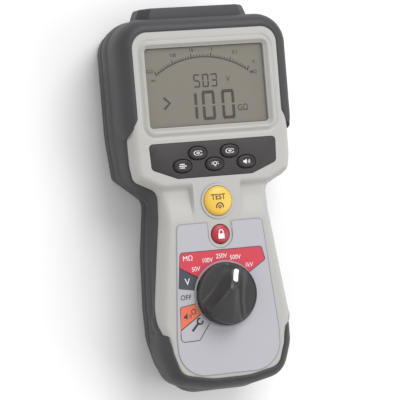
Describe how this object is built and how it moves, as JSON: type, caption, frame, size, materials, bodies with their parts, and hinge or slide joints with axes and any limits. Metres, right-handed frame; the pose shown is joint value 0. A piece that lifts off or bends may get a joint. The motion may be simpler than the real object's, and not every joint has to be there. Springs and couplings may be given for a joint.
{
  "type": "insulation resistance tester",
  "caption": "Hand-held insulation resistance tester with a broad display head, rubber bumpers, a rotary switch, push buttons, top sockets and a fold-out stand.",
  "frame": {"origin": "centre of the bounding box's bottom, on the surface that the back lies on", "axes": "+Z out of the front face, +Y along the body towards the sockets, +X to the right when the face is read"},
  "size_m": [0.108, 0.228, 0.063],
  "materials": {
    "shell_grey": "fine matte moulding",
    "inner_black": "matte moulding",
    "rubber_grey": "satin overmoulded rubber",
    "seal_black": "soft rubber",
    "seal_red": "soft silicone rubber",
    "label": "textured polyester film",
    "window": "clear polycarbonate",
    "display": "segment display",
    "diffuser": "light guide",
    "keypad": "fine matte moulding",
    "key_black": "satin silicone rubber with white marks",
    "test_yellow": "satin silicone rubber",
    "lock_red": "satin silicone rubber",
    "dome_silicone": "translucent silicone rubber",
    "knob_black": "satin moulding",
    "pointer_white": "satin moulding",
    "ring_grey": "satin moulding",
    "bearing_white": "acetal",
    "wafer": "phenolic laminate",
    "board": "circuit board with solder mask",
    "steel": "bright zinc plate",
    "brass": "machined brass",
    "parts_black": "moulded parts",
    "capacitor_blue": "shrink sleeve",
    "socket_black": "satin moulding",
    "socket_red": "satin moulding",
    "cell": "printed sleeve",
    "fuse_body": "ceramic tube with plated caps"
  },
  "bodies": {
    "case_body": {"front_case": "shell_grey", "rear_case": "inner_black", "case_gasket": "seal_black", "head_bumper": "rubber_grey", "end_bumper": "rubber_grey", "rear_armour": "rubber_grey", "label_overlay": "label", "display_window": "window", "display_panel": "display", "display_carrier": "inner_black", "backlight": "diffuser", "keypad_panel": "keypad", "key_mat": "seal_black", "test_ring": "seal_black", "test_dome": "dome_silicone", "lock_dome": "dome_silicone", "knob_ring": "ring_grey", "spindle_seal": "seal_black", "spindle_bush": "bearing_white", "switch_wafer": "wafer", "display_board": "board", "main_board": "board", "board_screws": "steel", "transformer": "parts_black", "buzzer": "parts_black", "capacitors": "capacitor_blue", "connector_block": "inner_black", "socket_black": "socket_black", "socket_red": "socket_red", "socket_remote": "socket_black", "socket_contacts": "brass", "remote_pins": "brass", "battery_tray": "inner_black", "cells": "cell", "battery_contacts": "steel", "fuse": "fuse_body", "fuse_clips": "brass", "cover_insert": "brass", "stand_pins": "steel", "case_screws": "steel"},
    "knob_body": {"knob": "knob_black", "knob_pointer": "pointer_white", "knob_spindle": "steel", "switch_rotor": "bearing_white"},
    "test_body": {"test_button": "test_yellow"},
    "lock_body": {"lock_button": "lock_red"},
    "stand_body": {"stand": "inner_black"},
    "cover_body": {"battery_cover": "inner_black", "cover_seal": "seal_red", "cover_screw": "steel"},
    "key_1_body": {"key_1": "key_black"},
    "key_2_body": {"key_2": "key_black"},
    "key_3_body": {"key_3": "key_black"},
    "key_4_body": {"key_4": "key_black"},
    "key_5_body": {"key_5": "key_black"}
  },
  "joints": [
    {"name": "knob_turn", "type": "hinge", "parent": "case_body", "child": "knob_body", "pos_m": [0, -0.0567, 0.05], "axis": [0, 0, 1], "range_deg": [-22.5, 157.5]},
    {"name": "test_press", "type": "slide", "parent": "case_body", "child": "test_body", "axis": [0, 0, -1], "range_m": [0, 0.0015], "stiffness_N_per_m": 2000, "springref_m": -0.0006, "deforming": ["test_dome"]},
    {"name": "lock_press", "type": "slide", "parent": "case_body", "child": "lock_body", "axis": [0, 0, -1], "range_m": [0, 0.0012], "stiffness_N_per_m": 2000, "springref_m": -0.0005, "deforming": ["lock_dome"]},
    {"name": "key_1_press", "type": "slide", "parent": "case_body", "child": "key_1_body", "axis": [0, 0, -1], "range_m": [0, 0.001], "stiffness_N_per_m": 1500, "springref_m": -0.0005, "deforming": ["key_mat"]},
    {"name": "key_2_press", "type": "slide", "parent": "case_body", "child": "key_2_body", "axis": [0, 0, -1], "range_m": [0, 0.001], "stiffness_N_per_m": 1500, "springref_m": -0.0005, "deforming": ["key_mat"]},
    {"name": "key_3_press", "type": "slide", "parent": "case_body", "child": "key_3_body", "axis": [0, 0, -1], "range_m": [0, 0.001], "stiffness_N_per_m": 1500, "springref_m": -0.0005, "deforming": ["key_mat"]},
    {"name": "key_4_press", "type": "slide", "parent": "case_body", "child": "key_4_body", "axis": [0, 0, -1], "range_m": [0, 0.001], "stiffness_N_per_m": 1500, "springref_m": -0.0005, "deforming": ["key_mat"]},
    {"name": "key_5_press", "type": "slide", "parent": "case_body", "child": "key_5_body", "axis": [0, 0, -1], "range_m": [0, 0.001], "stiffness_N_per_m": 1500, "springref_m": -0.0005, "deforming": ["key_mat"]},
    {"name": "stand_fold", "type": "hinge", "parent": "case_body", "child": "stand_body", "pos_m": [0, 0.088, 0.0029], "axis": [1, 0, 0], "range_deg": [0, 40]},
    {"name": "cover_lift", "type": "slide", "parent": "case_body", "child": "cover_body", "axis": [0, 0, -1], "range_m": [0, 0.05]}
  ]
}
